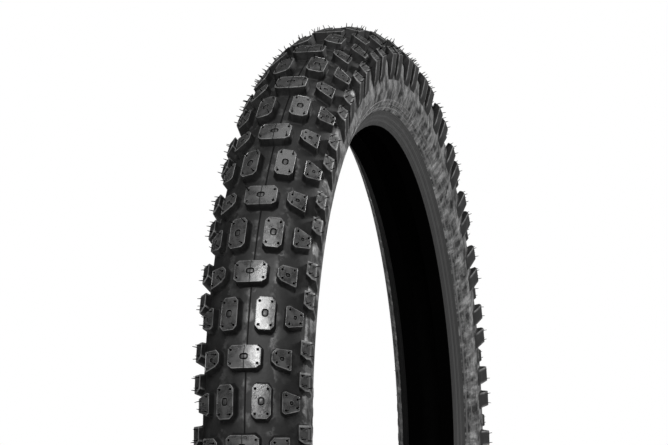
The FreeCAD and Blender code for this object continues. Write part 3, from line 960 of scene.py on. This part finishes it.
print("pin holes to a pitch:", len(hair_sites()))

# %% [markdown]
# ### The line of each hair
#
# Chance decides which hairs are left, how long they are and which way they droop. Close to
# the ground only the shoulders have hairs, so that the tire stands on its blocks. The draws
# come from one seeded generator, so the same tire comes out every time.

# %% Hair lines
GROUND_PITCHES = 3.0
SHOULDER_HAIR_LEAN = math.radians(12.0)
BURIED = {"shoulder": 0.3}
BURIED_ELSEWHERE = 1.2
random = np.random.default_rng(21)


def hair_lines():
    """Root, direction, droop and length of every hair that chance keeps.

    Hairs low on the shoulder lean further out than the block's own normal. A hair starts
    a little under the surface, so that its root is never seen to float.
    """
    lines = []
    for angle, bend, depth, side, kind in hair_sites():
        share, shortest, longest, droop = HAIRS[kind]
        for turn in angle + np.arange(PITCHES) * PITCH_ANGLE:
            chance, size, tilt, swing = random.random(4)
            from_ground = abs((turn / PITCH_ANGLE) % PITCHES - 0.75 * PITCHES)
            if chance > share or (kind != "shoulder" and from_ground < GROUND_PITCHES):
                continue
            buried = BURIED.get(kind, BURIED_ELSEWHERE)
            root = crown_point(turn, bend, depth + buried * MM)
            lean = bend + (SHOULDER_HAIR_LEAN if kind == "shoulder" else 0.0)
            out = np.array([math.cos(lean) * math.cos(turn), math.sin(lean),
                            math.cos(lean) * math.sin(turn)])
            tangent = np.array([-math.sin(turn), 0, math.cos(turn)])
            swing = 2 * math.pi * swing
            away = math.cos(swing) * tangent + math.sin(swing) * np.cross(out, tangent)
            length = (buried + shortest + (longest - shortest) * size) * MM
            lines.append((root, out, away * droop * (0.3 + tilt), length, side))
    return lines


print("crown hairs start", round(math.degrees(GROUND_PITCHES * PITCH_ANGLE)),
      "degrees from the ground")

# %% [markdown]
# ### Tubes round the lines
#
# There are over a thousand hairs, so each has only a few dozen faces: five sides, five rings
# and a short tip.

# %% Hair tubes
HAIR_SIDES = 5
HAIR_RINGS = 5
HAIR_RADIUS = 0.47 * MM
TAPER = 0.5


def hair_mesh(name):
    """Rings round each hair's line, root + s out + s^2 droop, thinner to the tip.

    The radius is HAIR_RADIUS (1 - TAPER s), and s runs from 0 at the root to 1.
    """
    points, faces = [], []
    ring = np.arange(HAIR_SIDES) * 2 * np.pi / HAIR_SIDES
    share = np.linspace(0, 1, HAIR_RINGS)
    lines = hair_lines()
    for root, out, droop, length, side in lines:
        first = np.cross(out, [0.3, 0.5, 0.8])
        first /= np.linalg.norm(first)
        second = np.cross(out, first)
        line = root + length * (share[:, None] * out * (1 - 0.12 * share[:, None])
                                + share[:, None] ** 2 * droop * 0.8)
        thick = HAIR_RADIUS * (1 - TAPER * share)
        circle = np.cos(ring)[:, None] * first + np.sin(ring)[:, None] * second
        tube = line[:, None] + circle[None] * thick[:, None, None]
        tube = tube.reshape(-1, 3)
        start = len(points) * (len(tube) + 1)
        quads = grid_faces(HAIR_RINGS, HAIR_SIDES) + start
        last = start + (HAIR_RINGS - 1) * HAIR_SIDES
        tip = [[last + i, last + (i + 1) % HAIR_SIDES, start + len(tube)]
               for i in range(HAIR_SIDES)]
        new = np.concatenate([tube, [line[-1] + out * HAIR_RADIUS]])
        new[:, 1] *= side
        mine = quads.tolist() + tip
        faces += [face[::-1] for face in mine] if side == -1 else mine
        points.append(new)
    return make_mesh(name, np.concatenate(points), faces, 60), len(points)


hairs, hair_count = hair_mesh("hairs")
print("hairs:", hair_count)

# %% [markdown]
# ## Rubber
#
# Black rubber is nearly all gloss: its own colour is so dark that what the eye reads is how
# sharply it mirrors the light. New rubber is not even, though. Mould release, dust and
# bloom change its roughness in soft patches, and the mould's own fine texture breaks up
# the highlights. So the material mixes two sizes of noise into the roughness, a little
# into the colour, and adds a fine bump. The noise reads object coordinates, and the places
# with a painted edge highlight or a painted sheen are marks on the mesh, so all of it stays
# on the rubber whatever the view.

# %% A recipe for a material
class Recipe:
    """Short hands for the node tree of one material."""

    def __init__(self, name):
        self.material = bpy.data.materials.new(name)
        self.material.use_nodes = True
        self.nodes = self.material.node_tree.nodes
        self.links = self.material.node_tree.links
        self.shader = self.nodes["Principled BSDF"]
        self.place = self.nodes.new("ShaderNodeTexCoord").outputs["Object"]

    def put(self, socket, value):
        """Set a socket to a constant, or link it to another node's output."""
        if isinstance(value, bpy.types.NodeSocket):
            self.links.new(value, socket)
        else:
            socket.default_value = value

    def unrolled(self, squeeze):
        """The wheel unrolled: arc length, radius times squeeze, and across, in metres.

        The angle is atan2(x, z), so the one jump in it is at the ground. A squeeze under 1
        draws patterns out into radial streaks.
        """
        split = self.nodes.new("ShaderNodeSeparateXYZ")
        self.put(split.inputs["Vector"], self.place)
        x, z = split.outputs["X"], split.outputs["Z"]
        angle = self.maths("ARCTAN2", x, z)
        square = self.maths("ADD", self.maths("MULTIPLY", x, x), self.maths("MULTIPLY", z, z))
        join = self.nodes.new("ShaderNodeCombineXYZ")
        self.put(join.inputs["X"], self.maths("MULTIPLY", angle, 0.3))
        self.put(join.inputs["Y"], self.maths("MULTIPLY", self.maths("SQRT", square), squeeze))
        self.put(join.inputs["Z"], self.maths("MULTIPLY", split.outputs["Y"], squeeze))
        return join.outputs["Vector"]

    def noise(self, size_mm, detail=3, rough=0.55, place=None):
        """Cloudy noise from 0 to 1, with features about size_mm across."""
        node = self.nodes.new("ShaderNodeTexNoise")
        node.inputs["Scale"].default_value = 1000.0 / size_mm
        node.inputs["Detail"].default_value = detail
        node.inputs["Roughness"].default_value = rough
        self.put(node.inputs["Vector"], place or self.place)
        return node.outputs["Fac"]

    def spread(self, value, low, high, start=0.35, stop=0.65):
        """Stretch start..stop to low..high, held at both ends."""
        node = self.nodes.new("ShaderNodeMapRange")
        for socket, number in (("From Min", start), ("From Max", stop), ("To Min", low),
                               ("To Max", high), ("Value", value)):
            self.put(node.inputs[socket], number)
        return node.outputs["Result"]

    def maths(self, operation, first, second=0.0):
        """One step of arithmetic."""
        node = self.nodes.new("ShaderNodeMath")
        node.operation = operation
        self.put(node.inputs[0], first)
        self.put(node.inputs[1], second)
        return node.outputs["Value"]

    def blend(self, share, first, second):
        """Mix two colours."""
        node = self.nodes.new("ShaderNodeMix")
        node.data_type = "RGBA"
        self.put(node.inputs["Factor"], share)
        self.put(node.inputs["A"], first)
        self.put(node.inputs["B"], second)
        return node.outputs["Result"]

    def mark(self, name):
        """A number stored on the points of the mesh, 0 where it isn't."""
        node = self.nodes.new("ShaderNodeAttribute")
        node.attribute_name = name
        return node.outputs["Fac"]

    def grained(self, rough, grain, amount):
        """A roughness with a little of the grain added and taken away."""
        return self.maths("ADD", rough, self.spread(grain, -amount, amount))

    def finish(self, colour, rough, shine, normal):
        """Set the four sockets that make a rubber, and give back the material."""
        for name, value in (("Base Color", colour), ("Roughness", rough),
                            ("Specular IOR Level", shine), ("Normal", normal)):
            self.put(self.shader.inputs[name], value)
        return self.material

    def bump(self, height, strength, distance_mm, under=None):
        """A normal bent by a height, on top of another bump if one is given."""
        node = self.nodes.new("ShaderNodeBump")
        node.inputs["Strength"].default_value = strength
        node.inputs["Distance"].default_value = distance_mm * MM
        self.put(node.inputs["Height"], height)
        if under is not None:
            self.put(node.inputs["Normal"], under)
        return node.outputs["Normal"]


def grey(level, warm=0.0):
    """A near neutral colour."""
    return (level * (1 + warm), level, level * (1 - warm), 1)


MATERIALS = {}
print("the darkest rubber here reflects", f"{grey(0.0006)[1]:.2%}", "of the light")

# %% [markdown]
# ### Tread rubber
#
# The same rubber looks different in three places. Walls and floor are dull, the tops are
# polished in patches by the mould and painted with a lighter sheen, and the edges are painted
# with a pale highlight. The marks stored on the points tell them apart. The mould line is
# painted shade, a dark hairline across the tops and a wider one on the floor.

# %% Tread rubber
def tread_rubber():
    """Tread rubber: dull walls and floor, glossy patchy tops with a painted sheen, painted pale
    edge highlights.

    The mould line is painted shade, a dark hairline: it is 1 near y = 0 and falls to 0 within
    0.4 mm on the tops. On the floor it is twice as wide.
    """
    recipe = Recipe("tread rubber")
    patches, grain, swell = recipe.noise(6.0, 3, 0.5), recipe.noise(0.45), recipe.noise(7.0, 2)
    smears = recipe.spread(recipe.noise(9.0, 3, 0.6), 0, 1, 0.5, 0.62)
    split = recipe.nodes.new("ShaderNodeSeparateXYZ")
    recipe.put(split.inputs["Vector"], recipe.place)
    aside = recipe.maths("ABSOLUTE", split.outputs["Y"])
    polish_and_painted_highlight = recipe.mark("polish_and_painted_highlight")
    wide = recipe.spread(polish_and_painted_highlight, 1.0, 0.5, 0, 0.01)
    # The mould line is painted shade: a near black hairline along y = 0 for the fin's shadow.
    line = recipe.spread(recipe.maths("MULTIPLY", aside, wide), 1, 0, 0.25 * MM, 0.4 * MM)
    # On the floor the bands get gloss and a painted highlight: a lighter colour in smears.
    floor = recipe.maths("ADD", recipe.maths("MULTIPLY", polish_and_painted_highlight, smears),
                         recipe.spread(polish_and_painted_highlight, 0, 0.12, 0, 0.01))
    gloss_and_painted_sheen = recipe.maths("MAXIMUM", recipe.mark("gloss_and_painted_sheen"), floor)
    gloss_and_painted_sheen = recipe.maths("MULTIPLY", gloss_and_painted_sheen, recipe.maths("SUBTRACT", 1.0, line))
    # The edge mark paints a pale highlight along the block edges, broken up by the patches.
    edge = recipe.maths("MULTIPLY", recipe.mark("edge"), recipe.spread(patches, 0.3, 1.0))
    dull = recipe.blend(smears, grey(0.004), grey(0.009))
    # A lighter grey painted on the glossy places as a sheen, the floor's bands included.
    painted_sheen_grey = recipe.blend(recipe.spread(patches, 0, 1), grey(0.014), grey(0.026))
    # grey(0.11) is the pale painted highlight on the edges.
    colour = recipe.blend(edge, recipe.blend(gloss_and_painted_sheen, dull, painted_sheen_grey), grey(0.11))
    dull_rough = 0.62
    smoother = recipe.maths("SUBTRACT", recipe.spread(patches, 0.22, 0.36), dull_rough)
    rough = recipe.maths("ADD", recipe.maths("MULTIPLY", gloss_and_painted_sheen, smoother), dull_rough)
    # grey(0.001) is the painted shade of the mould line.
    return recipe.finish(recipe.blend(line, colour, grey(0.001)),
                         recipe.grained(rough, grain, 0.04),
                         recipe.spread(gloss_and_painted_sheen, 0.12, 0.55, 0, 1),
                         recipe.bump(grain, 0.35, 0.25, recipe.bump(swell, 0.5, 0.5)))


MATERIALS["tread_rubber"] = tread_rubber()
print("tread rubber:", len(MATERIALS["tread_rubber"].node_tree.nodes), "nodes")

# %% [markdown]
# ### Sidewall rubber
#
# The sidewall carries cloudy bloom, and streaks that run out from the rim. The streaks are
# noise in unrolled coordinates, stretched along the radius: a plain stretched noise would
# only look right at one place on the wheel.

# %% Sidewall rubber
def sidewall_rubber():
    """Sidewall: satin, with cloudy bloom and fine radial streaks left by the mould."""
    recipe = Recipe("sidewall rubber")
    clouds, grain = recipe.noise(11.0, 5, 0.65), recipe.noise(0.4)
    streaks = recipe.noise(5.0, 4, 0.6, recipe.unrolled(0.3))
    mixed = recipe.maths("MULTIPLY", recipe.spread(clouds, 0.0, 1.0, 0.38, 0.64),
                         recipe.spread(streaks, 0.25, 1.0, 0.4, 0.64))
    # The line mark paints pale highlight lines along two rim lines.
    pale = recipe.maths("MAXIMUM", mixed, recipe.mark("line"))
    return recipe.finish(recipe.blend(pale, grey(0.006), grey(0.19)),
                         recipe.grained(recipe.spread(mixed, 0.58, 0.36, 0, 1), grain, 0.05),
                         recipe.spread(mixed, 0.1, 0.6, 0, 1),
                         recipe.bump(grain, 0.3, 0.25, recipe.bump(clouds, 0.6, 1.2)))


MATERIALS["sidewall_rubber"] = sidewall_rubber()
print("sidewall rubber:", len(MATERIALS["sidewall_rubber"].node_tree.nodes), "nodes")

# %% [markdown]
# ### Rim strip rubber
#
# A hard rubber, evener and duller than the sidewall. The mark on the seat takes away its
# shine and paints it nearly black as shade, and the line mark paints the thin pale lines as
# highlights.

# %% Rim strip rubber
def strip_rubber():
    """Rim strip: satin outside with painted highlight lines, and a dull seat painted near black
    as shade.
    """
    recipe = Recipe("rim strip rubber")
    patches, grain, seat = recipe.noise(9.0, 4, 0.6), recipe.noise(0.4), recipe.mark("seat")
    satin = recipe.blend(recipe.spread(patches, 0, 1), grey(0.004), grey(0.009))
    # grey(0.045) is a painted highlight along the strip's thin lines.
    lined = recipe.blend(recipe.mark("line"), satin, grey(0.045))
    # grey(0.0006) is painted shade on the seats and on most of the left strip.
    return recipe.finish(recipe.blend(seat, lined, grey(0.0006)),
                         recipe.grained(recipe.spread(patches, 0.6, 0.75), grain, 0.05),
                         recipe.spread(seat, 0.3, 0.0, 0, 1),
                         recipe.bump(grain, 0.3, 0.25))


MATERIALS["rim_strip_rubber"] = strip_rubber()
print("rim strip rubber:", len(MATERIALS["rim_strip_rubber"].node_tree.nodes), "nodes")

# %% [markdown]
# ### What lies inside, and the hairs
#
# The liner, fillers, rubbered cord and bead wires hardly show, so one plainer recipe serves
# them all: two greys and two roughnesses mixed in soft patches, with a fine grain. The hairs
# take it as well, nearly black and without any shine, because they are too thin to carry a
# highlight.

# %% Plain rubbers, cord and wire
def rubber(name, low, high, rough_low, rough_high, grain_mm=0.4, bump=0.3, shine=0.4):
    """An even rubber: two greys and two roughnesses mixed by soft patches, and grain."""
    recipe = Recipe(name)
    patches, grain = recipe.noise(12.0, 5, 0.6), recipe.noise(grain_mm)
    return recipe.finish(recipe.blend(recipe.spread(patches, 0, 1), low, high),
                         recipe.grained(recipe.spread(patches, rough_low, rough_high), grain,
                                        0.05),
                         shine,
                         recipe.bump(grain, bump, 0.25))


def bead_metal():
    """Bronze coated bead wire."""
    material = rubber("bead wire", (0.55, 0.40, 0.22, 1), (0.40, 0.29, 0.16, 1), 0.3, 0.45)
    material.node_tree.nodes["Principled BSDF"].inputs["Metallic"].default_value = 1.0
    return material


MATERIALS["filler_rubber"] = rubber("filler rubber", grey(0.02), grey(0.03), 0.6, 0.75)
MATERIALS["liner_rubber"] = rubber("liner rubber", grey(0.0010), grey(0.0016), 0.8, 0.9,
                                   shine=0.02)
MATERIALS["ply_cord"] = rubber("rubbered cord", grey(0.10, 0.15), grey(0.16, 0.15), 0.7, 0.85,
                               grain_mm=0.8, bump=0.6)
MATERIALS["bead_wire"] = bead_metal()
hair_rubber = rubber("hair rubber", grey(0.0006), grey(0.0012), 0.7, 0.85, shine=0.0)
print("slots filled:", ", ".join(MATERIALS))

# %% [markdown]
# ### Finishes for the CAD nodes
#
# The pieces that are kept from the CAD take their finish from the slot that the record names
# for them. A node may come with several materials, and all of them are replaced.

# %% Finishes for the CAD nodes
for row in frame["record"]["subparts"]:
    materials = frame["nodes"][row["node"]].data.materials
    finish = MATERIALS[row["material_slot"]]
    if not materials:
        materials.append(finish)
    for index in range(len(materials)):
        materials[index] = finish

# %% [markdown]
# ## Joining the new pieces to the frame
#
# Each new piece rides on the tire's one body, stands in for its CAD node, and takes the
# material of one of the record's slots, or a material given in its place.

# %% Riding and replacing
def stand_for(piece, node, slot_name, material=None):
    """Ride the body, hide the CAD node, and take the slot's material or a variant of it."""
    piece.data.materials.append(material or MATERIALS[slot_name])
    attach(piece, "root")
    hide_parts(node)


for node, piece in blocks.items():
    stand_for(piece, node, "tread_rubber")
stand_for(groove_floor, "tread_base", "tread_rubber")
stand_for(hairs, "vent_hairs", "tread_rubber", hair_rubber)
for side_name in SIDES:
    stand_for(walls[side_name], f"sidewall_{side_name}", "sidewall_rubber")
    stand_for(strips[side_name], f"rim_strip_{side_name}", "rim_strip_rubber")

# %% [markdown]
# ## Studio
#
# A product stand: a plain pale floor under the tire and a white surround. Black rubber needs
# few lights, each placed for its reflection: a soft one in front and above that the tops of
# the blocks mirror, one far behind on the right that runs along the sidewall, and a large
# weak one overhead for the upper blocks.

# %% Lights
def soft_light(name, place, aim, width, height, watts):
    """An area light at a place, turned to face a point."""
    data = bpy.data.lights.new(name, "AREA")
    data.shape = "RECTANGLE"
    data.size = width
    data.size_y = height
    data.energy = watts
    light = bpy.data.objects.new(name, data)
    light.location = place
    light.rotation_euler = (Vector(aim) - Vector(place)).to_track_quat("-Z", "Y").to_euler()
    scene.collection.objects.link(light)
    return light


lights = [
    soft_light("front", (-1.75, -0.20, 0.95), (-0.3, -0.02, 0.1), 0.8, 0.8, 62),
    soft_light("back", (1.6, -2.3, 1.35), (0.0, 0.0, 0.3), 1.0, 1.0, 115),
    soft_light("top", (-0.5, -0.3, 2.6), (-0.1, 0.0, 0.3), 2.4, 1.6, 34),
]
print("lights:", [(light.name, light.data.energy) for light in lights])

# %% [markdown]
# ### Floor
#
# One large square under the lowest block. It is part of the stand and not of the tire.

# %% Floor
FLOOR_HALF = 1.8
floor_data = bpy.data.meshes.new("floor")
floor_z = cad_box[0][2]
floor_data.from_pydata([(-FLOOR_HALF, -FLOOR_HALF, floor_z), (FLOOR_HALF, -FLOOR_HALF, floor_z),
                        (FLOOR_HALF, FLOOR_HALF, floor_z), (-FLOOR_HALF, FLOOR_HALF, floor_z)],
                       [], [(0, 1, 2, 3)])
floor = bpy.data.objects.new("floor", floor_data)
scene.collection.objects.link(floor)
floor_paint = bpy.data.materials.new("pale floor")
floor_paint.use_nodes = True
floor_shader = floor_paint.node_tree.nodes["Principled BSDF"]
floor_shader.inputs["Base Color"].default_value = (0.8, 0.8, 0.8, 1)
floor_shader.inputs["Roughness"].default_value = 0.6
floor_data.materials.append(floor_paint)
print("floor at", round(floor_z, 4))

# %% [markdown]
# ### Surround
#
# The surround is white where it is seen but gives the tire only a little light. With full
# light from all sides black rubber would turn grey, so a light path node tells the two
# uses apart.

# %% Surround
SURROUND_LIGHT = 0.05
world = bpy.data.worlds.new("surround")
scene.world = world
world.use_nodes = True
world_nodes, world_links = world.node_tree.nodes, world.node_tree.links
surround = world_nodes["Background"]
surround.inputs["Color"].default_value = (1, 1, 1, 1)
surround.inputs["Strength"].default_value = SURROUND_LIGHT
seen = world_nodes.new("ShaderNodeBackground")
seen.inputs["Color"].default_value = (1, 1, 1, 1)
rays = world_nodes.new("ShaderNodeLightPath")
choose = world_nodes.new("ShaderNodeMixShader")
world_links.new(rays.outputs["Is Camera Ray"], choose.inputs["Fac"])
world_links.new(surround.outputs["Background"], choose.inputs[1])
world_links.new(seen.outputs["Background"], choose.inputs[2])
world_links.new(choose.outputs["Shader"], world_nodes["World Output"].inputs["Surface"])
scene.view_settings.view_transform = "Standard"
print("surround light:", SURROUND_LIGHT)
